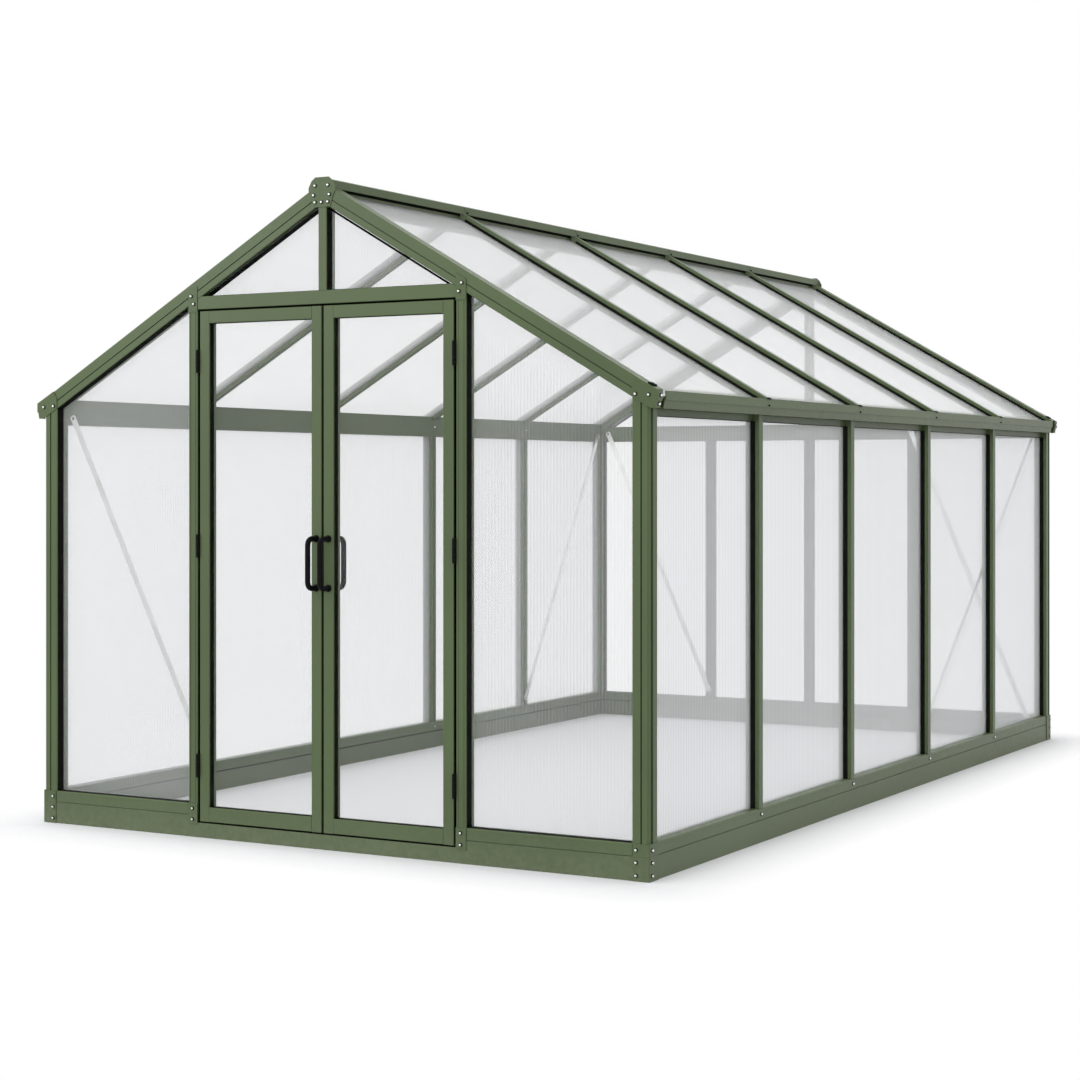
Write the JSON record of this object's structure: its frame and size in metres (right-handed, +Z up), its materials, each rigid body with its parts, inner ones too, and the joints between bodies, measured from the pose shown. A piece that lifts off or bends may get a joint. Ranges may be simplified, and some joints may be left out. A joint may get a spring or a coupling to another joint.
{
  "type": "greenhouse",
  "caption": "Walk-in gable greenhouse with a green aluminium frame, translucent twin-wall sheets, roof gutters and a pair of hinged glazed doors in the front gable.",
  "frame": {"origin": "on the ground, in the middle of the overall footprint, handles and plates included", "axes": "+X to the right seen from the doors, +Y from the door gable to the back gable, +Z up"},
  "size_m": [2.5064, 4.3322, 2.2497],
  "materials": {
    "frame_paint": "satin",
    "door_paint": "satin",
    "plate_paint": "satin",
    "twin_wall_sheet": "satin",
    "clear_sheet": "gloss",
    "brace_strip": "satin",
    "black_metal": "satin"
  },
  "bodies": {
    "frame": {"front_plinth": "frame_paint", "back_plinth": "frame_paint", "side_plinths": "frame_paint", "front_sills": "frame_paint", "back_sill": "frame_paint", "side_sills": "frame_paint", "base_corner_plates": "plate_paint", "foot_plates": "plate_paint", "corner_posts": "frame_paint", "door_posts": "frame_paint", "left_wall_posts": "frame_paint", "right_wall_posts": "frame_paint", "back_wall_posts": "frame_paint", "left_eave_gutter": "frame_paint", "right_eave_gutter": "frame_paint", "eave_corner_plates": "plate_paint", "front_gable_rafters": "frame_paint", "back_gable_rafters": "frame_paint", "left_rafters": "frame_paint", "right_rafters": "frame_paint", "ridge_beam": "frame_paint", "ridge_cap": "frame_paint", "ridge_plates": "plate_paint", "door_header": "frame_paint", "head_plates": "plate_paint", "back_tie_beam": "frame_paint", "king_posts": "frame_paint", "side_braces": "brace_strip", "back_braces": "brace_strip", "left_wall_panels": "twin_wall_sheet", "right_wall_panels": "twin_wall_sheet", "front_wall_panels": "twin_wall_sheet", "front_gable_panels": "twin_wall_sheet", "back_wall_panels": "twin_wall_sheet", "back_gable_panels": "twin_wall_sheet", "left_roof_panels": "twin_wall_sheet", "right_roof_panels": "twin_wall_sheet", "post_hinges": "black_metal"},
    "left_door": {"left_door_hinges": "black_metal", "left_door_stiles": "door_paint", "left_door_rails": "door_paint", "left_door_panel": "clear_sheet", "left_door_handles": "black_metal"},
    "right_door": {"right_door_hinges": "black_metal", "right_door_stiles": "door_paint", "right_door_rails": "door_paint", "right_door_panel": "clear_sheet", "right_door_handles": "black_metal"}
  },
  "joints": [
    {"name": "left_door_swing", "type": "hinge", "parent": "frame", "child": "left_door", "pos_m": [-0.52, -2.1121, 0.94], "axis": [0, 0, -1], "range_deg": [0, 110]},
    {"name": "right_door_swing", "type": "hinge", "parent": "frame", "child": "right_door", "pos_m": [0.52, -2.1121, 0.94], "axis": [0, 0, 1], "range_deg": [0, 110]}
  ]
}
